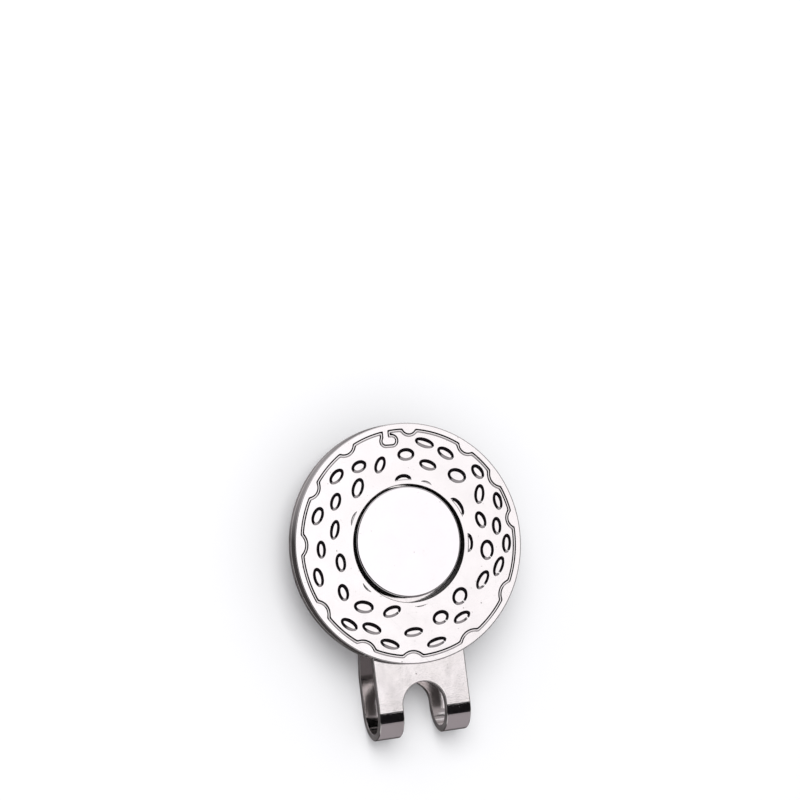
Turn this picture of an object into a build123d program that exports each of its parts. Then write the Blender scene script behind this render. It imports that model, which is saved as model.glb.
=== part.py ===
from build123d import *
import os
from math import cos, pi, radians, sin

# A magnetic ball-marker holder that clips onto the brim of a cap.
#
# A cast disc with golf-ball dimples lies on the round head of a stamped strip of spring steel. A round
# magnet sits in the middle of the disc. The strip leaves the head as a short tail, parts into two legs,
# turns back under itself in a U and ends in a tongue that grips the brim from below.
#
# Frame: millimetres. The holder lies on a table with the disc facing up (+Z). +Y runs from the bends
# towards the disc, X runs across the strip. The origin is on the table, under the middle of the whole.

# Disc
disc_diameter = 30.0
disc_thickness = 1.5
disc_front_round = 0.14  # round on the edge of the face
disc_back_round = 0.12
hole_round = 0.1
collar_width = 0.55  # plain ring round the magnet's hole

# Border: a groove that follows the rim, dips in round each scallop and goes round the club-head lug
rim_width = 0.7
groove_width = 0.42
groove_depth = 0.05
scallop_depth = 0.62  # how far a scallop reaches in from the border
dimple_depth = 0.115
dimple_wall = 0.4  # how far a dimple's gentle wall runs inwards on its way down to the flat floor

# Scallops: place round the disc (degrees, counter-clockwise from +X) and width of the mouth
scallops = (
    (5.5, 2.05),
    (28.0, 2.4),
    (50.3, 2.0),
    (82.5, 1.7),
    (118.0, 2.1),
    (145.5, 2.1),
    (174.0, 2.5),
    (208.7, 2.3),
    (238.6, 2.45),
    (264.6, 2.45),
    (297.3, 2.65),
    (328.2, 2.5),
)

# Club-head lug: its shaft hangs from the rim and its head points to the right. x and y from the top of
# the border
lug_outline = (
    (-1.62, 0.3),
    (-1.62, -0.9),
    (-1.82, -1.3),
    (-1.5, -1.8),
    (-0.5, -1.8),
    (-0.12, -1.35),
    (-0.5, -0.98),
    (-1.0, -0.85),
    (-1.0, 0.3),
)
lug_round = 0.12

# Dimples: place round the disc, distance in from the border, length, width, and how far the long side
# leans from the tangent (degrees, counter-clockwise)
dimples = (
    # next to the border
    (17, 1.25, 2.25, 1.2, -9),
    (37, 1.4, 2.1, 1.35, -2),
    (59, 2., 2.4, 1.3, -5),
    (73, 1.6, 2.6, 1.15, -7),
    (132, 1.75, 2.3, 1.4, -2),
    (157.5, 1.85, 2.35, 1.45, -8),
    (192.5, 1.6, 2.4, 1.3, -4),
    (224.5, 1.45, 2.4, 1.25, 9),
    (251, 1.5, 2.6, 1.15, -5),
    (279, 1.5, 2.65, 1.1, 2),
    (339.5, 2., 2.6, 1.25, -9),
    (353, 1.25, 2.35, 1.2, -3),
    # in the middle of the band
    (3.5, 2.35, 2.2, 1.25, -6),
    (26, 3., 2.45, 1.35, -38),
    (45.5, 3.65, 2.5, 1.75, 20),
    (84.5, 3.25, 2.25, 1.55, 2),
    (104, 3.9, 2.2, 1.35, 46),
    (117.5, 2.8, 2.05, 1.45, -9),
    (145, 3.4, 2.25, 1.35, 10),
    (177, 2.7, 2.2, 1.2, -1),
    (208, 3.65, 2.15, 1.4, -18),
    (237.5, 2.6, 2.6, 1.3, 6),
    (265.5, 3.25, 2.5, 1.15, 6),
    (300, 2.75, 2.4, 1.25, -8),
    (328, 3.5, 2.6, 1.35, -6),
    (348.5, 3.85, 2.5, 1.8, 4),
    # near the collar
    (10, 4.25, 2.2, 1.35, 7),
    (68, 4.2, 2.35, 1.25, -2),
    (127.5, 4.75, 2.55, 1.5, 27),
    (163.5, 4.4, 2.45, 1.2, -2),
    (188, 4.95, 2.3, 1.35, -6),
    (225.5, 4.35, 2.6, 1.55, 30),
    (247.5, 5.5, 2.45, 1.35, 35),
    (287, 4.2, 2.2, 1.7, -2),
    (308.5, 4.9, 2.3, 1.9, 12),
    # cut short by the collar
    (28, 6.45, 2.65, 1.45, 0),
    (65.5, 6.85, 1.8, 1.3, 0),
    (88, 6.4, 2.15, 1.4, 2),
    (150, 6.8, 2.2, 1.25, 0),
    (217.5, 6.9, 2.0, 1.35, 0),
    (274.5, 6.9, 2.0, 1.3, 0),
    (353.5, 6.4, 2.3, 1.3, 3),
)

# Magnet, glued in a little off the middle
magnet_diameter = 13.9
magnet_clearance = 0.38  # between the magnet's side and the hole, if it sat in the middle
magnet_shift = 0.19  # towards the top of the disc
magnet_front_round = 0.24
magnet_back_round = 0.12
glue_thickness = 0.08
glue_inset = 0.5

# Solder between the disc and the strip's head
solder_thickness = 0.08
solder_inset = 0.6

# Strip of spring steel
strip_thickness = 0.85
strip_width = 12.2
bend_radius = 3.1  # outside of the U-bends
bend_reach = 24.0  # from the middle of the disc to the outside of the bends
slot_width = 5.7  # the slot that parts the two legs
slot_straight = 0.75  # straight sides of the slot past the bend line, up to its round end

# Tongue: flat legs on the table, a ramp up to the crest that grips, and a lip that turns down again
flat_length = 4.4
ramp_angle = 15.5
lip_angle = 38.0
kink_radius = 4.0
crest_radius = 6.0
pinch_gap = 0.45  # between the crest and the plate when nothing is gripped
tip_round = 4.0

# Places worked out from the sizes above
disc_radius = disc_diameter / 2
border_radius = disc_radius - rim_width  # outer wall of the groove
hole_radius = magnet_diameter / 2 + magnet_clearance
collar_radius = hole_radius + collar_width
disc_y = (bend_reach - disc_radius) / 2
bend_line_y = disc_y - bend_reach + bend_radius  # where the flat strip goes over into the bends
leg_width = (strip_width - slot_width) / 2
plate_top = 2 * bend_radius
plate_bottom = plate_top - strip_thickness
disc_bottom = plate_top + solder_thickness
disc_top = disc_bottom + disc_thickness
magnet_bottom = plate_top + glue_thickness
magnet_thickness = disc_top - magnet_bottom  # the magnet is flush with the disc's face
magnet_y = disc_y + magnet_shift
disc_face = Plane((0, disc_y, disc_top))


def scallop_circle(mouth):
    """Radius of the circle that gives a scallop its mouth and depth, and its distance from the centre."""
    radius = (mouth**2 / 4 + scallop_depth**2) / (2 * scallop_depth)
    return radius, border_radius - scallop_depth + radius


def cut_slot():
    """Take the slot between the legs out of the sketch of a flat stretch that starts at the bend line."""
    with Locations((0, bend_line_y)):
        Rectangle(slot_width, slot_straight, align=(Align.CENTER, Align.MIN), mode=Mode.SUBTRACT)
    with Locations((0, bend_line_y + slot_straight)):
        Circle(slot_width / 2, mode=Mode.SUBTRACT)


def draw_dimple(place, inward, length, width, lean):
    """Draw the outline of one dimple on the disc's face."""
    with PolarLocations(border_radius - inward, 1, start_angle=place):
        Ellipse(length / 2, width / 2, rotation=90 + lean)


with BuildSketch(disc_face) as sharp_lug:
    with BuildLine():
        Polyline(*[(x, border_radius + y) for x, y in lug_outline], close=True)
    make_face()

with BuildSketch(disc_face) as lug:
    add(sharp_lug.sketch_local)
    fillet(lug.vertices().sort_by(Axis.Y)[:-2], lug_round)


def draw_field(inset):
    """Draw what the border encloses, smaller all round by inset: a disc less the scallops and the lug."""
    Circle(border_radius - inset)
    for place, mouth in scallops:
        scallop_radius, scallop_distance = scallop_circle(mouth)
        with PolarLocations(scallop_distance, 1, start_angle=place):
            Circle(scallop_radius + inset, mode=Mode.SUBTRACT)
    if inset:
        offset(sharp_lug.sketch_local, amount=inset, mode=Mode.SUBTRACT)
    else:
        add(lug.sketch_local, mode=Mode.SUBTRACT)


with BuildSketch(disc_face) as inner_field:
    draw_field(groove_width)

# The punch is the shape that the dimples leave in the disc. It stays clear of the collar
with BuildPart() as punch:
    for place, inward, length, width, lean in dimples:
        for depth, inset in ((0, 0), (dimple_depth, dimple_wall)):
            with BuildSketch(disc_face.offset(-depth)):
                draw_dimple(place, inward, length - 2 * inset, width - 2 * inset, lean)
        loft(ruled=True)
    with BuildSketch(disc_face):
        Circle(collar_radius)
    extrude(amount=-dimple_depth, mode=Mode.SUBTRACT)

with BuildPart() as dimple_disc:
    with BuildSketch(disc_face):
        Circle(disc_radius)
        Circle(hole_radius, mode=Mode.SUBTRACT)
    extrude(amount=-disc_thickness)
    hole_edge, front_edge = dimple_disc.edges().group_by(Axis.Z)[-1].sort_by(SortBy.RADIUS)
    fillet(hole_edge, hole_round)
    fillet(front_edge, disc_front_round)
    fillet(dimple_disc.edges().group_by(Axis.Z)[0].sort_by(SortBy.RADIUS)[-1], disc_back_round)
    with BuildSketch(disc_face) as groove:
        draw_field(0)
        add(inner_field.sketch_local, mode=Mode.SUBTRACT)
    extrude(amount=-groove_depth, mode=Mode.SUBTRACT)
    add(punch.part, mode=Mode.SUBTRACT)
dimple_disc.part.label = "dimple_disc"

with BuildPart() as magnet:
    with BuildSketch(Plane((0, magnet_y, magnet_bottom))):
        Circle(magnet_diameter / 2)
    extrude(amount=magnet_thickness)
    fillet(magnet.edges().sort_by(Axis.Z)[-1], magnet_front_round)
    fillet(magnet.edges().group_by(Axis.Z)[0], magnet_back_round)
magnet.part.label = "magnet"

with BuildPart() as magnet_glue:
    with BuildSketch(Plane((0, magnet_y, plate_top))):
        Circle(magnet_diameter / 2 - glue_inset)
    extrude(amount=glue_thickness)
magnet_glue.part.label = "magnet_glue"

with BuildPart() as disc_solder:
    with BuildSketch(Plane((0, disc_y, plate_top))):
        Circle(disc_radius - solder_inset)
        Circle(hole_radius + solder_inset, mode=Mode.SUBTRACT)
    extrude(amount=solder_thickness)
disc_solder.part.label = "disc_solder"

# Head, tail and the flat upper ends of the legs
with BuildPart() as clip_plate:
    with BuildSketch(Plane.XY.offset(plate_bottom)):
        with Locations((0, disc_y)):
            Circle(disc_radius)
        with Locations((0, bend_line_y)):
            Rectangle(strip_width, disc_y - bend_line_y, align=(Align.CENTER, Align.MIN))
        cut_slot()
    extrude(amount=strip_thickness)
clip_plate.part.label = "clip_plate"

# The two U-bends, half a ring each
bends = []
for name, leg_side in (("left_bend", -strip_width / 2), ("right_bend", slot_width / 2)):
    with BuildPart() as bend:
        with BuildSketch(Plane.YZ.offset(leg_side)):
            with Locations((bend_line_y, bend_radius)):
                Circle(bend_radius)
                Circle(bend_radius - strip_thickness, mode=Mode.SUBTRACT)
                Rectangle(bend_radius, 2 * bend_radius, align=(Align.MIN, Align.CENTER), mode=Mode.SUBTRACT)
        extrude(amount=leg_width)
    bend.part.label = name
    bends.append(bend.part)

# The tongue's side view follows its underside: flat, up the ramp, over the crest, down to the table
crest_height = plate_bottom - pinch_gap - strip_thickness
ramp_turn = 1 - cos(radians(ramp_angle))
ramp_length = (crest_height - (kink_radius + crest_radius) * ramp_turn) / sin(radians(ramp_angle))
lip_drop = crest_height - crest_radius * (1 - cos(radians(lip_angle)))
lip_length = lip_drop / sin(radians(lip_angle))

with BuildPart() as grip_tongue:
    with BuildSketch(Plane.YZ) as side_view:
        with BuildLine():
            flat = Line((bend_line_y, 0), (bend_line_y + flat_length, 0))
            kink = JernArc(flat @ 1, flat % 1, kink_radius, ramp_angle)
            ramp = Line(kink @ 1, kink @ 1 + (kink % 1) * ramp_length)
            crest = JernArc(ramp @ 1, ramp % 1, crest_radius, -(ramp_angle + lip_angle))
            Line(crest @ 1, crest @ 1 + (crest % 1) * lip_length)
            offset(amount=strip_thickness, side=Side.LEFT)
        make_face()
    extrude(amount=strip_width / 2, both=True)
    tongue_end_y = grip_tongue.part.bounding_box().max.Y
    with BuildSketch() as top_view:
        with Locations((0, bend_line_y)):
            Rectangle(strip_width, tongue_end_y - bend_line_y, align=(Align.CENTER, Align.MIN))
        fillet(top_view.vertices().group_by(Axis.Y)[-1], tip_round)
        cut_slot()
    extrude(amount=plate_bottom, mode=Mode.INTERSECT)
grip_tongue.part.label = "grip_tongue"

os.makedirs("parts", exist_ok=True)
films = [magnet_glue.part, disc_solder.part]
strip = [clip_plate.part, *bends, grip_tongue.part]
for piece in [dimple_disc.part, magnet.part, *films, *strip]:
    export_step(piece, f"parts/{piece.label}.step")

# The legs give way together like one hinge, whose line is the centroid of the half rings
flex_y = bend_line_y - 2 * (bend_radius - strip_thickness / 2) / pi
print(f"hinge line at y {flex_y:.3f}, z {bend_radius:.3f}; disc face at z {disc_top:.3f}")
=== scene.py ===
import bpy
import numpy as np
from math import atan2, ceil, cos, exp, hypot, log, pi, radians, sin, tan
from mathutils import Matrix, Vector
from mathutils.geometry import delaunay_2d_cdt


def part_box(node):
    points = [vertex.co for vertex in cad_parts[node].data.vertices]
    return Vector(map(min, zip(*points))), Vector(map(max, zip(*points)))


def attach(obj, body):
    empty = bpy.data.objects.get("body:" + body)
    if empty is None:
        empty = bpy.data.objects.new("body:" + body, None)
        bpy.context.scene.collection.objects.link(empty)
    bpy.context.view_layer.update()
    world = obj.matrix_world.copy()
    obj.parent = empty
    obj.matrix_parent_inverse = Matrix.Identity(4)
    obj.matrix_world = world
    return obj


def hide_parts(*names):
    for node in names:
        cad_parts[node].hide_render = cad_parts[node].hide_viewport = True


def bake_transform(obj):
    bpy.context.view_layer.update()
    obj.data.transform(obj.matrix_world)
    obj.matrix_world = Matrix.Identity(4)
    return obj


# The looks of a magnetic ball-marker holder that clips onto the brim of a cap: a cast disc with golf-ball
# dimples, a round magnet in its middle, and a strip of spring steel that turns back under the disc.
# Sizes are in millimetres until a mesh is made.

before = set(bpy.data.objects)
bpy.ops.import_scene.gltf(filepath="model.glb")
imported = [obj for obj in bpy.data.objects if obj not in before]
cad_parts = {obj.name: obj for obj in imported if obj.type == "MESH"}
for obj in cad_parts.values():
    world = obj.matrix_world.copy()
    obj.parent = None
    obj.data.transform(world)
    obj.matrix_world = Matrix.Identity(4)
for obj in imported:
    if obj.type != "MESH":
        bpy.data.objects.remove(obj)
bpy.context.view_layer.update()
MM = 0.001


def box_mm(node):
    """Lowest and highest corner of a CAD node, in millimetres."""
    return [Vector(corner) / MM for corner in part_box(node)]


disc_low, disc_high = box_mm("dimple_disc")
magnet_low, magnet_high = box_mm("magnet")
plate_low, plate_high = box_mm("clip_plate")
bend_low, bend_high = box_mm("left_bend")
tongue_low, tongue_high = box_mm("grip_tongue")

sharp_angle = radians(50)  # faces that meet at more than this keep their own normals

# Disc. The groove and the dimples have gentle walls, so that each wall shows as a line of reflected dark.
disc_radius = (disc_high.x - disc_low.x) / 2
disc_y = (disc_high.y + disc_low.y) / 2
rim_width = 0.7
groove_width = 0.42
groove_depth = 0.062
groove_edge = 0.03  # how far its rounded edges run out on either side
dimple_depth = 0.115
dimple_wall = 0.4
dimple_edge = 0.06  # how far a dimple's rounded edge runs out
collar_cut = 0.3  # the wall along the collar runs this much of the way that the others do
collar_width = 0.55
disc_front_round = 0.14
hole_round = 0.1
small_round = 0.08
magnet_front_round = 0.24
magnet_gap = 0.38
flat_margin = 0.1  # from a rounded edge to the flat part of the face
round_faces = 240  # faces round the disc and the magnet
disc_edge_steps = 6  # faces across each rounded edge of the disc
hole_wall = range(18, 26)  # the stretches of the disc's profile that make the hole's wall, which gets painted shade
magnet_edge_steps = 8
magnet_wall = range(8, 12)  # the stretches of the magnet's profile that make its side, which gets painted shade
magnet_core = 0.5  # radius of the one face in the middle of the magnet
line_step = 0.1  # between the points along the groove and round the dimples
corner_blend = 0.06  # how softly the scallops and the lug run into the border

border_radius = disc_radius - rim_width
magnet_radius = (magnet_high.x - magnet_low.x) / 2
magnet_y = (magnet_high.y + magnet_low.y) / 2
hole_radius = magnet_radius + magnet_gap
collar_radius = hole_radius + collar_width

# Scallops: place round the disc (degrees, counter-clockwise from +X) and width of the mouth
scallop_depth = 0.62
scallops = (
    (5.5, 2.05),
    (28.0, 2.4),
    (50.3, 2.0),
    (82.5, 1.7),
    (118.0, 2.1),
    (145.5, 2.1),
    (174.0, 2.5),
    (208.7, 2.3),
    (238.6, 2.45),
    (264.6, 2.45),
    (297.3, 2.65),
    (328.2, 2.5),
)
border_start = 191.0  # a place between two scallops

# Club-head lug: two bars with round ends, the shaft and the head. x, y from the top of the border, twice,
# and half the width
lug_bars = (
    (-1.31, 0.6, -1.33, -1.1, 0.31),
    (-1.38, -1.36, -0.56, -1.4, 0.43),
)

# Dimples: place round the disc, distance in from the border, length, width, and how far the long side
# leans from the tangent (degrees, counter-clockwise)
dimples = (
    # next to the border
    (17, 1.25, 2.25, 1.2, -9),
    (37, 1.4, 2.1, 1.35, -2),
    (59, 2., 2.4, 1.3, -5),
    (73, 1.6, 2.6, 1.15, -7),
    (132, 1.75, 2.3, 1.4, -2),
    (157.5, 1.85, 2.35, 1.45, -8),
    (192.5, 1.6, 2.4, 1.3, -4),
    (224.5, 1.45, 2.4, 1.25, 9),
    (251, 1.5, 2.6, 1.15, -5),
    (279, 1.5, 2.65, 1.1, 2),
    (339.5, 2., 2.6, 1.25, -9),
    (353, 1.25, 2.35, 1.2, -3),
    # in the middle of the band
    (3.5, 2.35, 2.2, 1.25, -6),
    (26, 3., 2.45, 1.35, -38),
    (45.5, 3.65, 2.5, 1.75, 20),
    (84.5, 3.25, 2.25, 1.55, 2),
    (104, 3.9, 2.2, 1.35, 46),
    (117.5, 2.8, 2.05, 1.45, -9),
    (145, 3.4, 2.25, 1.35, 10),
    (177, 2.7, 2.2, 1.2, -1),
    (208, 3.65, 2.15, 1.4, -18),
    (237.5, 2.6, 2.6, 1.3, 6),
    (265.5, 3.25, 2.5, 1.15, 6),
    (300, 2.75, 2.4, 1.25, -8),
    (328, 3.5, 2.6, 1.35, -6),
    (348.5, 3.85, 2.5, 1.8, 4),
    # near the collar
    (10, 4.25, 2.2, 1.35, 7),
    (68, 4.2, 2.35, 1.25, -2),
    (127.5, 4.75, 2.55, 1.5, 27),
    (163.5, 4.4, 2.45, 1.2, -2),
    (188, 4.95, 2.3, 1.35, -6),
    (225.5, 4.35, 2.6, 1.55, 30),
    (247.5, 5.5, 2.45, 1.35, 35),
    (287, 4.2, 2.2, 1.7, -2),
    (308.5, 4.9, 2.3, 1.9, 12),
    # cut short by the collar
    (28, 6.45, 2.65, 1.45, 0),
    (65.5, 6.85, 1.8, 1.3, 0),
    (88, 6.4, 2.15, 1.4, 2),
    (150, 6.8, 2.2, 1.25, 0),
    (217.5, 6.9, 2.0, 1.35, 0),
    (274.5, 6.9, 2.0, 1.3, 0),
    (353.5, 6.4, 2.3, 1.3, 3),
)

# Strip. Its outer side is the one that shows: the top of the plate, the outside of the bends and the
# underside of the tongue
strip_thickness = plate_high.z - plate_low.z
strip_half_width = (tongue_high.x - tongue_low.x) / 2
slot_half_width = -bend_high.x
bend_line_y = bend_high.y
bend_outer = (bend_high.z - bend_low.z) / 2
bend_lead = 0.35  # the bends start this far before the line where the strip goes over into them
outer_edge_round = 0.13
inner_edge_round = 0.06
slot_straight = 0.75
flat_length = 4.4
ramp_angle = radians(15.5)
lip_angle = radians(38)
kink_radius = 4.0
crest_radius = 6.0
pinch_gap = 0.45
tip_round = 4.0
edge_margin = 0.05  # from a rounded edge to the flat part of the strip
strip_edge_steps = 4
strip_wall = range(4, 8)  # the stretches of a slab's edge that make its sheared side
bend_steps = 64
head_steps = 200  # faces round the plate's head
slot_steps = 32
tip_steps = 20
curve_step = radians(2.2)  # how far the tongue turns from one row of points to the next


class Shell:
    """The points, normals and faces of one piece."""

    def __init__(self):
        self.points, self.normals, self.faces = [], [], []
        self.side_faces = set()

    def add(self, point, normal):
        self.points.append(tuple(point))
        self.normals.append(tuple(normal))
        return len(self.points) - 1

    def bridge(self, upper, lower, side=False):
        """Faces between two closed rings with as many points; the outside is to the right of the way round.
        side marks them as part of a side wall, which gets the second material: a sheared finish on the
        strip, painted shade on the hole's wall and the magnet's side."""
        for i in range(len(upper)):
            j = (i + 1) % len(upper)
            if side:
                self.side_faces.add(len(self.faces))
            self.faces.append((upper[i], lower[i], lower[j], upper[j]))

    def fill(self, loops, keep, rows=(), upwards=True):
        """Flat-lying triangles between loops, where keep(x, y) says so."""
        used = [i for loop in loops for i in loop]
        place = {index: k for k, index in enumerate(used)}
        flat = [Vector(self.points[i][:2]) for i in used]
        edges = [(place[a], place[b]) for loop in loops for a, b in zip(loop, loop[1:] + loop[:1])]
        edges += [(place[a], place[b]) for a, b in rows]
        made, _, triangles, origins, _, _ = delaunay_2d_cdt(flat, edges, [], 0, 1e-6)
        if any(not came_from for came_from in origins):
            raise ValueError(f"{sum(not o for o in origins)} lines of the relief cross")
        for triangle in triangles:
            x, y = (sum(made[k][axis] for k in triangle) / 3 for axis in (0, 1))
            if keep(x, y):
                face = [used[origins[k][0]] for k in triangle]
                self.faces.append(tuple(face if upwards else reversed(face)))

    def piece(self, name, material, side_material):
        """A Blender object of these faces. Its own normals keep the flats flat and the rounds round."""
        mesh = bpy.data.meshes.new(name)
        mesh.from_pydata([Vector(p) * MM for p in self.points], [], self.faces)
        mesh.materials.append(material)
        mesh.materials.append(side_material)
        for index in self.side_faces:
            mesh.polygons[index].material_index = 1
        mesh.shade_smooth()
        mesh.set_sharp_from_angle(angle=sharp_angle)
        smooth = np.array(self.normals, float)
        smooth /= np.linalg.norm(smooth, axis=1)[:, None]
        corners = np.empty((len(mesh.loops), 3))
        for face in mesh.polygons:
            for corner in face.loop_indices:
                normal = smooth[mesh.loops[corner].vertex_index]
                corners[corner] = normal if normal @ face.normal > cos(sharp_angle) else face.normal
        mesh.normals_split_custom_set([tuple(c) for c in corners])
        made = bpy.data.objects.new(name, mesh)
        bpy.context.scene.collection.objects.link(made)
        return made


def polar(radius, angle):
    """x and y of a place round the disc, from its centre; angle in degrees."""
    return radius * cos(radians(angle)), radius * sin(radians(angle))


def round_path(corners, steps):
    """Points along a path of (x, y, radius) corners, each with its outward normal, which is to the left."""
    path = []
    for k, (x, y, radius) in enumerate(corners):
        here = Vector((x, y))
        before = (here - Vector(corners[k - 1][:2])).normalized() if k else None
        after = (Vector(corners[k + 1][:2]) - here).normalized() if k + 1 < len(corners) else None
        if before is None or after is None:
            way = after or before
            path.append((here, Vector((-way.y, way.x))))
            continue
        turn = before.angle_signed(after)
        start = here - before * radius * tan(abs(turn) / 2)
        centre = start + Vector((before.y, -before.x)) * radius
        for step in range(steps + 1):
            normal = Vector((-before.y, before.x))
            normal.rotate(Matrix.Rotation(-turn * step / steps, 2))
            path.append((centre + normal * radius, normal))
    return path


def turn_profile(shell, profile, centre_y, sides):
    """Rings of points round a vertical axis, one for each (radius, height) of the profile. sides are the
    stretches of it that get the second material, which is painted shade on the disc and the magnet."""
    rings = []
    for (radius, height), (out, up) in profile:
        ring = []
        for k in range(round_faces):
            c, s = polar(1, 360 * k / round_faces)
            ring.append(shell.add((radius * c, centre_y + radius * s, height), (out * c, out * s, up)))
        rings.append(ring)
    for k, (upper, lower) in enumerate(zip(rings, rings[1:])):
        shell.bridge(upper, lower, side=k in sides)
    return rings


# The relief: at each (distance in from an outline, slope) the surface has gone down by the area under the
# slopes so far
def relief_steps(distances, slopes, depth):
    """(distance, depth, slope) for each step of a wall that goes down by depth in all."""
    drops = [0.0]
    for k in range(1, len(distances)):
        run = distances[k] - distances[k - 1]
        drops.append(drops[-1] + run * (slopes[k] + slopes[k - 1]) / 2)
    scale = depth / max(drops)
    return [(d, drop * scale, slope * scale) for d, drop, slope in zip(distances, drops, slopes)]


groove_reach = groove_width + 2 * groove_edge
groove_parts = (0, 0.08, 0.34, 0.42, 0.56, 0.64, 0.92, 1)
groove_steps = relief_steps(
    [groove_reach * part - groove_edge for part in groove_parts],
    (0, 1, 1, 0, 0, -0.944, -0.944, 0),
    groove_depth,
)
dimple_reach = dimple_wall + dimple_edge
dimple_parts = (0, 0.18, 0.82, 1)
dimple_steps = relief_steps(
    [dimple_reach * part - dimple_edge for part in dimple_parts],
    (0, 1, 1, 0),
    dimple_depth,
)

scallop_circles = []
for place, mouth in scallops:
    radius = (mouth**2 / 4 + scallop_depth**2) / (2 * scallop_depth)
    scallop_circles.append((*polar(border_radius - scallop_depth + radius, place), radius))


def bar_distance(x, y, x1, y1, x2, y2, half_width):
    """Distance to a straight bar with round ends on the border's top."""
    y = y - border_radius
    along = ((x - x1) * (x2 - x1) + (y - y1) * (y2 - y1)) / ((x2 - x1) ** 2 + (y2 - y1) ** 2)
    along = min(max(along, 0), 1)
    return hypot(x - x1 - along * (x2 - x1), y - y1 - along * (y2 - y1)) - half_width


def inside_border(x, y):
    """How far a point of the face lies inside the border, with the corners softened."""
    distances = [border_radius - hypot(x, y)]
    distances += [hypot(x - cx, y - cy) - radius for cx, cy, radius in scallop_circles]
    distances += [bar_distance(x, y, *bar) for bar in lug_bars]
    least = min(distances)
    return least - corner_blend * log(sum(exp((least - d) / corner_blend) for d in distances))


def uphill(x, y):
    """Depth inside the border, how steeply it grows, and the unit vector along which it does."""
    small = 1e-4
    here = inside_border(x, y)
    gx = (inside_border(x + small, y) - here) / small
    gy = (inside_border(x, y + small) - here) / small
    size = hypot(gx, gy)
    return here, size, gx / size, gy / size


def border_line(level):
    """A walk round the line that lies level inside the border: (x, y, way in x, way in y)."""
    x, y = polar(border_radius - level, border_start)
    line = []
    while len(line) < 9 or hypot(x - line[0][0], y - line[0][1]) > line_step * 0.8:
        for _ in range(3):  # steps back onto the line
            here, size, gx, gy = uphill(x, y)
            x += (level - here) / size * gx
            y += (level - here) / size * gy
        _, _, gx, gy = uphill(x, y)
        line.append((x, y, gx, gy))
        x += line_step * gy
        y -= line_step * gx
    return line


def dimple_line(place, inward, length, width, lean, level):
    """The line that lies level inside a dimple: (x, y, way in x, way in y). The collar cuts it short, with a
    steeper wall, for which the way in is longer."""
    centre = Vector(polar(border_radius - inward, place))
    lie = Matrix.Rotation(radians(place + 90 + lean), 2)
    half_length, half_width = length / 2 - level, width / 2 - level
    count = ceil(pi * (half_length + half_width) / line_step)
    limit = collar_radius + level * collar_cut
    line = []
    for k in range(count):
        t = 2 * pi * k / count
        way = Vector((-cos(t) * half_width, -sin(t) * half_length)).normalized()
        line.append((centre + lie @ Vector((half_length * cos(t), half_width * sin(t))), lie @ way))
    clear = [point.length > limit for point, _ in line]
    if all(clear):
        return [(*point, *way) for point, way in line]
    if not any(clear):
        return []
    first = next(k for k in range(count) if clear[k] and not clear[k - 1])
    line = line[first:] + line[:first]
    clear = clear[first:] + clear[:first]
    last = clear.index(False)
    ends = []
    for inner, outer in ((line[-1], line[0]), (line[last], line[last - 1])):
        part = (limit - inner[0].length) / (outer[0].length - inner[0].length)
        ends.append(inner[0].lerp(outer[0], part))
    start, end = (atan2(p.y, p.x) for p in (ends[1], ends[0]))
    sweep = (end - start + pi) % (2 * pi) - pi
    steps = max(2, ceil(abs(sweep) * limit / line_step))
    cut = []
    for k in range(steps + 1):
        out = Vector((cos(start + sweep * k / steps), sin(start + sweep * k / steps)))
        cut.append((*(out * limit), *(out / collar_cut)))
    return [(*point, *way) for point, way in line[:last]] + cut


def add_relief(shell, line, drop, slope):
    """A loop of points of the relief on the disc's face."""
    loop = []
    for x, y, way_x, way_y in line:
        loop.append(shell.add((x, y + disc_y, disc_high.z - drop), (way_x * slope, way_y * slope, 1)))
    return loop


def make_disc(material, side_material):
    shell = Shell()
    top, bottom = disc_high.z, disc_low.z
    corners = (
        (disc_radius - disc_front_round - flat_margin, top, 0),
        (disc_radius, top, disc_front_round),
        (disc_radius, bottom, small_round),
        (hole_radius, bottom, small_round),
        (hole_radius, top, hole_round),
        (hole_radius + hole_round + flat_margin, top, 0),
    )
    rings = turn_profile(shell, round_path(corners, disc_edge_steps), disc_y, hole_wall)
    loops = [rings[0], rings[-1]]
    for level, drop, slope in groove_steps:
        loops.append(add_relief(shell, border_line(level), drop, slope))
    for dimple in dimples:
        for level, drop, slope in dimple_steps:
            line = dimple_line(*dimple, level)
            if len(line) > 2:
                loops.append(add_relief(shell, line, drop, slope))
    inner_edge = (hole_radius + hole_round + flat_margin) * cos(pi / round_faces)
    shell.fill(loops, lambda x, y: hypot(x, y - disc_y) > inner_edge)
    return shell.piece("dimpled_face", material, side_material)


def make_magnet(material, side_material):
    shell = Shell()
    top, bottom = magnet_high.z, magnet_low.z
    corners = (
        (magnet_core, top, 0),
        (magnet_radius, top, magnet_front_round),
        (magnet_radius, bottom, small_round),
        (magnet_core, bottom, 0),
    )
    rings = turn_profile(shell, round_path(corners, magnet_edge_steps), magnet_y, magnet_wall)
    shell.faces.append(tuple(rings[0]))
    shell.faces.append(tuple(reversed(rings[-1])))
    return shell.piece("magnet_button", material, side_material)


def arc_points(x, y, radius, start, end, steps, hollow=False):
    """Outline points along an arc, each with its outward normal; angles in degrees."""
    out = -1 if hollow else 1
    points = []
    for k in range(steps + 1):
        c, s = polar(1, start + (end - start) * k / steps)
        points.append((x + radius * c, y + radius * s, out * c, out * s))
    return points


def slot_outline(y_start):
    """The slot's outline from the right leg round to the left one, from a cut at y_start."""
    round_end_y = bend_line_y + slot_straight
    return [
        (slot_half_width, y_start, -1, 0),
        *arc_points(0, round_end_y, slot_half_width, 0, 180, slot_steps, hollow=True),
        (-slot_half_width, y_start, 1, 0),
    ]


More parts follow.
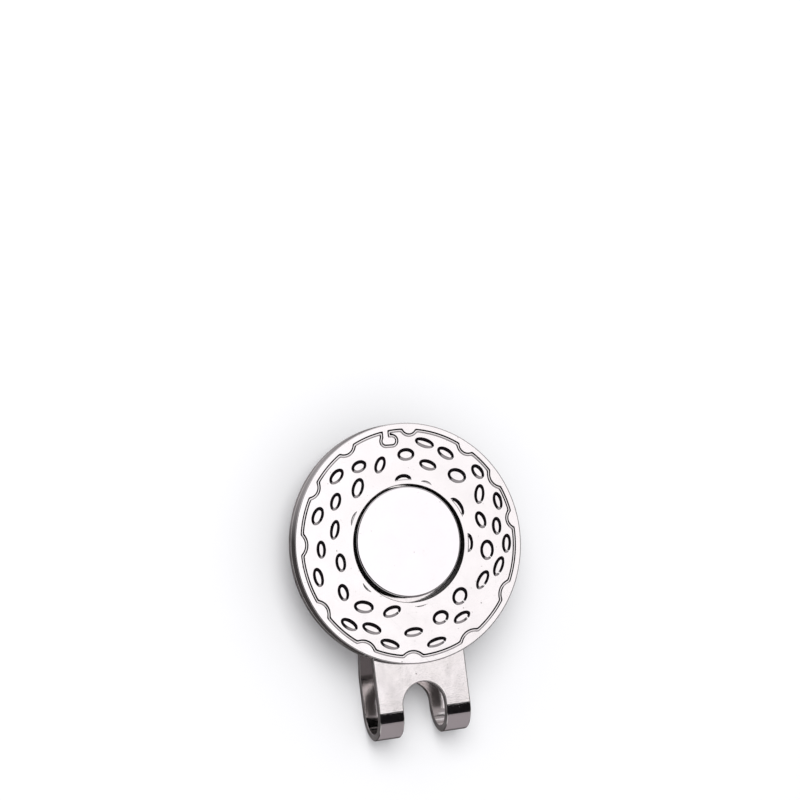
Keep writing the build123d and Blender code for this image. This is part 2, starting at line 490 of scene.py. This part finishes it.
def make_slab(outline, rows, low_round, high_round):
    """A slab of the strip's thickness from an outline that runs counter-clockwise. rows are pairs of
    outline points that an edge joins right across the slab."""
    shell = Shell()
    inset = max(low_round, high_round) + edge_margin
    corners = (
        (-inset, strip_thickness, 0),
        (0, strip_thickness, high_round),
        (0, 0, low_round),
        (-inset, 0, 0),
    )
    rings = []
    for (out, height), (side, up) in round_path(corners, strip_edge_steps):
        ring = []
        for x, y, nx, ny in outline:
            ring.append(shell.add((x + nx * out, y + ny * out, height), (nx * side, ny * side, up)))
        rings.append(ring)
    for k, (upper, lower) in enumerate(zip(rings, rings[1:])):
        shell.bridge(upper, lower, side=k in strip_wall)
    for ring, upwards in ((rings[0], True), (rings[-1], False)):
        edge = np.array([shell.points[i][:2] for i in ring])
        shell.fill([ring], inside_of(edge), [(ring[a], ring[b]) for a, b in rows], upwards)
    return shell


def inside_of(edge):
    """A test whether a point lies inside a polygon."""
    following = np.roll(edge, -1, axis=0)

    def inside(x, y):
        spans = (edge[:, 1] > y) != (following[:, 1] > y)
        (x1, y1), (x2, y2) = edge[spans].T, following[spans].T
        return np.count_nonzero(x < x1 + (y - y1) / (y2 - y1) * (x2 - x1)) % 2 == 1

    return inside


def make_plate(material, side_material):
    cut_y = bend_line_y + bend_lead
    meet_y = disc_y - (disc_radius**2 - strip_half_width**2) ** 0.5
    meet_angle = np.degrees(np.arcsin((meet_y - disc_y) / disc_radius))
    head = arc_points(0, disc_y, disc_radius, meet_angle, 180 - meet_angle, head_steps)
    # where the head meets the tail, the normal splits the hollow corner
    c, s = polar(1, meet_angle)
    miter = Vector((1 + c, s)) / (1 + c)
    head[0] = (strip_half_width, meet_y, miter.x, miter.y)
    head[-1] = (-strip_half_width, meet_y, -miter.x, miter.y)
    outline = [
        (strip_half_width, cut_y, 1, 0),
        *head,
        (-strip_half_width, cut_y, -1, 0),
        *reversed(slot_outline(cut_y)),
    ]
    shell = make_slab(outline, (), inner_edge_round, outer_edge_round)
    shell.points = [(x, y, z + plate_low.z) for x, y, z in shell.points]
    return shell.piece("spring_plate", material, side_material)


def make_bend(name, leg_side, material, side_material):
    """One U-bend from the plate to the tongue, as a rounded section swept along the strip."""
    shell = Shell()
    far_side = leg_side + (strip_half_width - slot_half_width)
    corners = (
        (leg_side + outer_edge_round + edge_margin, strip_thickness, 0),
        (far_side, strip_thickness, outer_edge_round),
        (far_side, 0, inner_edge_round),
        (leg_side, 0, inner_edge_round),
        (leg_side, strip_thickness, outer_edge_round),
    )
    closing = (leg_side + outer_edge_round, strip_thickness, 0)
    section = round_path((*corners, closing), strip_edge_steps)[:-1]
    rings = []
    for k in range(bend_steps + 1):
        c, s = polar(1, 90 + 180 * k / bend_steps)
        edge = Vector((bend_line_y + bend_lead + (bend_outer + bend_lead) * c, bend_outer * (1 + s)))
        out = Vector((bend_outer * c, (bend_outer + bend_lead) * s)).normalized()
        ring = []
        for (x, height), (nx, nh) in section:
            point = edge - (strip_thickness - height) * out
            ring.append(shell.add((x, *point), (nx, *(nh * out))))
        rings.append(ring)
    for upper, lower in zip(rings, rings[1:]):
        shell.bridge(lower, upper)
    for index, face in enumerate(shell.faces):
        if all(abs(shell.normals[i][0]) > 0.9 for i in face):
            shell.side_faces.add(index)
    shell.faces.append(tuple(rings[0]))
    shell.faces.append(tuple(reversed(rings[-1])))
    return shell.piece(name, material, side_material)


def make_tongue(material, side_material):
    """The tongue, drawn flat and then bent along its side view."""
    crest_height = plate_low.z - pinch_gap - strip_thickness
    turns = (kink_radius + crest_radius) * (1 - cos(ramp_angle))
    ramp_length = (crest_height - turns) / sin(ramp_angle)
    lip_drop = crest_height - crest_radius * (1 - cos(lip_angle))
    # each stretch of the side view: length, and how much it turns (upwards is positive)
    stretches = (
        (flat_length, 0),
        (kink_radius * ramp_angle, ramp_angle),
        (ramp_length, 0),
        (crest_radius * (ramp_angle + lip_angle), -(ramp_angle + lip_angle)),
        (lip_drop / sin(lip_angle), 0),
    )
    length = sum(run for run, _ in stretches)

    def side_view(along):
        """y, z and the upward normal of the underside, at a distance along it."""
        y, z, heading = bend_line_y, 0.0, 0.0
        for run, turn in stretches:
            part = along if run is stretches[-1][0] else min(along, run)
            if turn:
                radius = run / turn
                bent = heading + part / radius
                y += radius * (sin(bent) - sin(heading))
                z += radius * (cos(heading) - cos(bent))
                heading = bent
            else:
                y += part * cos(heading)
                z += part * sin(heading)
            along -= part
            if along <= 0:
                break
        return y, z, -sin(heading), cos(heading)

    # rows of points where the strip curves
    heights, here = [], 0.0
    for run, turn in stretches:
        if turn:
            count = ceil(abs(turn) / curve_step)
            heights += [here + run * k / count for k in range(count + 1)]
        here += run
    stretch = 1 / cos(lip_angle)
    tip = []
    for x, y, nx, ny in arc_points(0, 0, tip_round, 0, 90, tip_steps):
        out = Vector((nx, ny / stretch)).normalized()
        tip.append((strip_half_width - tip_round + x, length - (tip_round - y) * stretch, out.x, out.y))
    right_side = [(strip_half_width, s, 1, 0) for s in heights if s < tip[0][1] - 0.01] + tip
    left_side = [(-x, s, -nx, ns) for x, s, nx, ns in reversed(right_side)]
    slot = [(x, s - bend_line_y, nx, ns) for x, s, nx, ns in slot_outline(bend_line_y + bend_lead)]
    outline = [
        (strip_half_width, bend_lead, 1, 0),
        *right_side,
        *left_side,
        (-strip_half_width, bend_lead, -1, 0),
        *reversed(slot),
    ]
    crossings = len(right_side) - len(tip)
    rows = [(1 + k, 2 * len(right_side) - k) for k in range(crossings)]
    shell = make_slab(outline, rows, outer_edge_round, inner_edge_round)
    for k, ((x, s, height), (nx, ns, nh)) in enumerate(zip(shell.points, shell.normals)):
        y, z, up_y, up_z = side_view(s)
        shell.points[k] = (x, y + height * up_y, z + height * up_z)
        shell.normals[k] = (nx, ns * up_z + nh * up_y, -ns * up_y + nh * up_z)
    return shell.piece("grip_tongue_strip", material, side_material)


# Materials
class Nodes:
    """Short ways to add nodes to a tree and join them up."""

    def __init__(self, tree):
        self.tree = tree
        tree.nodes.clear()

    def add(self, kind, inputs=(), **settings):
        node = self.tree.nodes.new(kind)
        for name, value in settings.items():
            setattr(node, name, value)
        for socket, value in dict(inputs).items():
            if isinstance(value, bpy.types.NodeSocket):
                self.tree.links.new(value, node.inputs[socket])
            else:
                node.inputs[socket].default_value = value
        return node

    def math(self, operation, a, b=0.0):
        return self.add("ShaderNodeMath", {0: a, 1: b}, operation=operation).outputs[0]

    def fit(self, value, low, high, to_low, to_high, smooth=False):
        """value from the range low..high mapped to to_low..to_high, and held there."""
        kind = "SMOOTHSTEP" if smooth else "LINEAR"
        inputs = {0: value, 1: low, 2: high, 3: to_low, 4: to_high}
        return self.add("ShaderNodeMapRange", inputs, interpolation_type=kind).outputs[0]

    def noise(self, where, size, detail=2.0, roughness=0.5):
        """Noise whose blots are about size metres across."""
        inputs = {"Vector": where, "Scale": 1 / size, "Detail": detail, "Roughness": roughness}
        return self.add("ShaderNodeTexNoise", inputs).outputs[0]

    def mix(self, factor, a, b):
        node = self.add("ShaderNodeMix", {0: factor, 6: a, 7: b}, data_type="RGBA")
        return node.outputs[2]


# Marks in the plating, in metres
cloud_size = 0.004
pin_size = 0.00035
pin_color = (0.3, 0.27, 0.25, 1)
scratch_width = 0.00004
scratch_ways = ((0.3, 0.004), (1.35, 0.003), (2.4, 0.005))  # turn in radians, and length
haze_size = 0.0012
wave_size = 0.0005
ripple_size = 0.00016


def nickel(name, color, tint, roughness, grain, waves, ripples, scratches):
    """Bright nickel plate. grain stretches the marks, so that small numbers make them long that way;
    waves and ripples are the heights of the surface's unevenness, and scratches that of its fine marks, in
    metres."""
    material = bpy.data.materials.new(name)
    material.use_nodes = True
    nodes = Nodes(material.node_tree)
    where = nodes.add("ShaderNodeTexCoord").outputs["Object"]
    along = nodes.add("ShaderNodeMapping", {"Vector": where, "Scale": grain}).outputs[0]

    # faint clouds in the plating, and a few pin marks
    clouds = nodes.noise(where, cloud_size, 3)
    pins = nodes.noise(where, pin_size, 1)
    pins = nodes.fit(pins, 0.76, 0.81, 0, 1)
    shade = nodes.mix(nodes.fit(clouds, 0.35, 0.65, 0, 1), (*color, 1), (*tint, 1))
    marked = nodes.mix(nodes.math("MULTIPLY", pins, 0.55), shade, pin_color)

    # thin rubbing marks in several directions
    streaks = []
    for turn, length in scratch_ways:
        turned = nodes.add("ShaderNodeMapping", {"Vector": along, "Rotation": (0, 0, turn)}).outputs[0]
        drawn_out = {"Vector": turned, "Scale": (1, scratch_width / length, 1)}
        thin = nodes.add("ShaderNodeMapping", drawn_out).outputs[0]
        streaks.append(nodes.fit(nodes.noise(thin, scratch_width, 1), 0.7, 0.8, 0, 1))
    marks = nodes.math("MAXIMUM", nodes.math("MAXIMUM", streaks[0], streaks[1]), streaks[2])

    haze = nodes.noise(along, haze_size, 4, 0.6)
    dull = nodes.fit(haze, 0.3, 0.7, roughness * 0.75, roughness * 1.3)
    dull = nodes.math("ADD", dull, nodes.math("MULTIPLY", marks, 0.08))
    dull = nodes.math("ADD", dull, nodes.math("MULTIPLY", pins, 0.25))

    swell = nodes.noise(along, wave_size, 3, 0.55)
    height = nodes.math("MULTIPLY", swell, waves)
    rough = nodes.math("MULTIPLY", nodes.noise(where, ripple_size, 1), ripples)
    height = nodes.math("ADD", height, rough)
    height = nodes.math("SUBTRACT", height, nodes.math("MULTIPLY", marks, scratches))
    height = nodes.math("SUBTRACT", height, nodes.math("MULTIPLY", pins, scratches * 3))
    bump = nodes.add("ShaderNodeBump", {"Height": height, "Strength": 1.0, "Distance": 1.0})

    inputs = {"Base Color": marked, "Roughness": dull, "Metallic": 1.0, "Normal": bump.outputs[0]}
    shader = nodes.add("ShaderNodeBsdfPrincipled", inputs)
    nodes.add("ShaderNodeOutputMaterial", {"Surface": shader.outputs[0]})
    return material


def dull_film(name, color, tint, roughness, metallic, size):
    """Solder, glue, or the painted shade in the magnet's hole: uneven in colour, gloss and height."""
    material = bpy.data.materials.new(name)
    material.use_nodes = True
    nodes = Nodes(material.node_tree)
    where = nodes.add("ShaderNodeTexCoord").outputs["Object"]
    blots = nodes.noise(where, size, 4)
    shade = nodes.mix(nodes.fit(blots, 0.35, 0.65, 0, 1), (*color, 1), (*tint, 1))
    gloss = nodes.fit(blots, 0.3, 0.7, roughness * 0.8, roughness * 1.2)
    height = nodes.math("MULTIPLY", blots, size * 0.1)
    bump = nodes.add("ShaderNodeBump", {"Height": height, "Strength": 1.0, "Distance": 1.0})
    inputs = {"Base Color": shade, "Roughness": gloss, "Metallic": metallic, "Normal": bump.outputs[0]}
    shader = nodes.add("ShaderNodeBsdfPrincipled", inputs)
    nodes.add("ShaderNodeOutputMaterial", {"Surface": shader.outputs[0]})
    return material


casting = nickel(
    "cast_nickel",
    color=(0.9, 0.88, 0.88),
    tint=(0.86, 0.84, 0.84),
    roughness=0.07,
    grain=(1, 1, 1),
    waves=1.2e-6,
    ripples=2e-7,
    scratches=2e-7,
)
lapped = nickel(
    "lapped_nickel",
    color=(0.91, 0.89, 0.91),
    tint=(0.89, 0.87, 0.88),
    roughness=0.05,
    grain=(1, 1, 1),
    waves=3e-7,
    ripples=1e-7,
    scratches=1.5e-7,
)
rolled = nickel(
    "rolled_nickel",
    color=(0.88, 0.85, 0.85),
    tint=(0.83, 0.8, 0.79),
    roughness=0.1,
    grain=(1, 0.45, 0.45),
    waves=4e-6,
    ripples=1.8e-6,
    scratches=3e-7,
)
sheared = nickel(
    "sheared_edge",
    color=(0.8, 0.77, 0.77),
    tint=(0.6, 0.57, 0.56),
    roughness=0.5,
    grain=(1, 1, 0.2),
    waves=1e-5,
    ripples=4e-6,
    scratches=1e-6,
)
# painted shade: a near-black dull film on the disc's hole wall and the magnet's side, standing in for the
# shade deep in the narrow gap between them
hole_shade = dull_film(
    "painted_hole_shade",
    color=(0.035, 0.033, 0.03),
    tint=(0.02, 0.02, 0.018),
    roughness=0.45,
    metallic=0.6,
    size=0.0004,
)
tin = dull_film(
    "tin_solder",
    color=(0.5, 0.5, 0.51),
    tint=(0.38, 0.38, 0.39),
    roughness=0.5,
    metallic=1.0,
    size=0.0006,
)
glue = dull_film(
    "dark_glue",
    color=(0.03, 0.03, 0.03),
    tint=(0.06, 0.055, 0.05),
    roughness=0.4,
    metallic=0.0,
    size=0.0005,
)

# Pieces
disc = make_disc(casting, hole_shade)
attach(disc, "holder")
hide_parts("dimple_disc")

magnet = make_magnet(lapped, hole_shade)
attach(magnet, "holder")
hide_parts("magnet")

plate = make_plate(rolled, sheared)
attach(plate, "holder")
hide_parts("clip_plate")

tongue = make_tongue(rolled, sheared)
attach(tongue, "tongue")
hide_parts("grip_tongue")

for name, node, side in (
    ("left_leg_bend", "left_bend", -strip_half_width),
    ("right_leg_bend", "right_bend", slot_half_width),
):
    bend = make_bend(name, side, rolled, sheared)
    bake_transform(bend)
    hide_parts(node)

for node, film in (("disc_solder", tin), ("magnet_glue", glue)):
    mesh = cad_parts[node].data
    mesh.materials.clear()
    mesh.materials.append(film)

# Floor
floor_half = 3.0
floor_drop = 0.00002  # the floor lies just under the clip
floor_mesh = bpy.data.meshes.new("floor")
floor_corners = [(x * floor_half, y * floor_half, 0) for x, y in ((-1, -1), (1, -1), (1, 1), (-1, 1))]
floor_mesh.from_pydata(floor_corners, [], [(0, 1, 2, 3)])
floor = bpy.data.objects.new("floor", floor_mesh)
bpy.context.scene.collection.objects.link(floor)
floor.location.z = -floor_drop
floor.visible_glossy = False
paper = bpy.data.materials.new("pale_paper")
paper.use_nodes = True
paper_shader = paper.node_tree.nodes["Principled BSDF"]
paper_shader.inputs["Base Color"].default_value = (0.86, 0.86, 0.87, 1)
paper_shader.inputs["Roughness"].default_value = 0.9
paper_shader.inputs["Specular IOR Level"].default_value = 0.1
floor_mesh.materials.append(paper)

# Studio. The metal mirrors a white window overhead with black cards round it, and grey walls further out;
# the floor gets even light. Window and cards are given as they lie on a ceiling one metre up
window_x, window_y = (-0.03, 0.5), (-0.07, 0.46)
cards_x, cards_y = (-1.7, 2.7), (-1.0, 0.95)
window_white = (1.2, 1.17, 1.19, 1)
window_faint = (1.04, 1.0, 1.01, 1)
card_black = (0.006, 0.005, 0.006, 1)
card_grey = (0.33, 0.31, 0.32, 1)
wall_low = (0.68, 0.665, 0.67, 1)
wall_high = (0.42, 0.41, 0.415, 1)
back_wall_color = (0.72, 0.7, 0.71, 1)
front_color = (0.33, 0.3, 0.315, 1)
ground_near = (0.05, 0.045, 0.045, 1)
ground_far = (0.4, 0.38, 0.39, 1)
floor_light = (0.7, 0.7, 0.71, 1)
backdrop = (0.93, 0.93, 0.935, 1)
world = bpy.data.worlds.new("studio")
bpy.context.scene.world = world
world.use_nodes = True
nodes = Nodes(world.node_tree)
ray = nodes.add("ShaderNodeLightPath").outputs
direction = nodes.add("ShaderNodeTexCoord").outputs["Generated"]
dx, dy, dz = nodes.add("ShaderNodeSeparateXYZ", {0: direction}).outputs
lift = nodes.math("MAXIMUM", dz, 0.02)
ceiling = nodes.math("DIVIDE", dx, lift), nodes.math("DIVIDE", dy, lift)


def inside_panel(x_range, y_range, soft):
    """1 where the ceiling shows the panel, 0 outside, with soft edges."""
    product = None
    for value, (low, high) in zip(ceiling, (x_range, y_range)):
        rise = nodes.fit(value, low - soft, low + soft, 0, 1, smooth=True)
        fall = nodes.fit(value, high - soft, high + soft, 1, 0, smooth=True)
        both = nodes.math("MULTIPLY", rise, fall)
        product = both if product is None else nodes.math("MULTIPLY", product, both)
    return product


side_walls = nodes.mix(nodes.fit(dz, 0.0, 0.7, 0, 1), wall_low, wall_high)
walls = nodes.mix(nodes.fit(dy, 0.1, 0.5, 0, 1, smooth=True), side_walls, back_wall_color)
ground = nodes.mix(nodes.fit(dy, 0.08, 0.4, 0, 1), ground_near, ground_far)
above = nodes.fit(dz, -0.06, 0.03, 0, 1, smooth=True)
room = nodes.mix(above, ground, walls)

# the grey front, which the lower half of the bends mirrors
front = nodes.math("MULTIPLY", nodes.fit(dy, -0.3, -0.45, 0, 1), nodes.fit(dz, -0.85, -0.6, 0, 1))
for near, far in ((0.2, 0.05), (0.48, 0.6)):
    front = nodes.math("MULTIPLY", front, nodes.fit(dx, far, near, 0, 1))
room = nodes.mix(front, room, front_color)

# cards and window
card = nodes.mix(nodes.fit(ceiling[1], 0.5, 0.56, 0, 1), card_black, card_grey)
room = nodes.mix(inside_panel(cards_x, cards_y, 0.02), room, card)
window = nodes.mix(nodes.fit(ceiling[0], 0.34, 0.46, 0, 1), window_white, window_faint)
room = nodes.mix(inside_panel(window_x, window_y, 0.012), room, window)

# only mirrored rays see the room
plain = nodes.mix(ray["Is Camera Ray"], floor_light, backdrop)
color = nodes.mix(ray["Is Glossy Ray"], plain, room)
sky = nodes.add("ShaderNodeBackground", {"Color": color, "Strength": 1.0})
nodes.add("ShaderNodeOutputWorld", {"Surface": sky.outputs[0]})

soft_light = bpy.data.lights.new("soft_light", "AREA")
soft_light.shape = "RECTANGLE"
soft_light.size = 0.5
soft_light.size_y = 0.7
soft_light.energy = 5.0
lamp = bpy.data.objects.new("soft_light", soft_light)
bpy.context.scene.collection.objects.link(lamp)
lamp.location = (-0.15, 0.35, 0.8)
lamp.rotation_mode = "QUATERNION"
lamp.rotation_quaternion = (-lamp.location).to_track_quat("-Z", "Y")
lamp.visible_glossy = False

# Camera, far off with a long lens, above the left side of the disc
camera_data = bpy.data.cameras.new("camera")
camera_data.lens = 200
camera_data.sensor_width = 36
view_width = 99.43  # of the picture, at the disc
middle_right, middle_up = 1.14, -17.81  # where the disc's middle lies from the picture's middle
back = Vector((-0.354, -0.0202, 0.935)).normalized()
right = Vector((0.1098, 0.992, 0.063)).cross(back).normalized()
up = back.cross(right)
disc_middle = Vector((0, disc_y, disc_high.z))
aim = disc_middle - middle_right * right - middle_up * up
distance = view_width * camera_data.lens / camera_data.sensor_width
camera = bpy.data.objects.new("camera", camera_data)
camera.matrix_world = Matrix.LocRotScale(
    (aim + back * distance) * MM, Matrix((right, up, back)).transposed(), None
)
camera_data.clip_start, camera_data.clip_end = 0.01, 20
bpy.context.scene.collection.objects.link(camera)
bpy.context.scene.camera = camera
bpy.context.scene.view_settings.view_transform = "Standard"
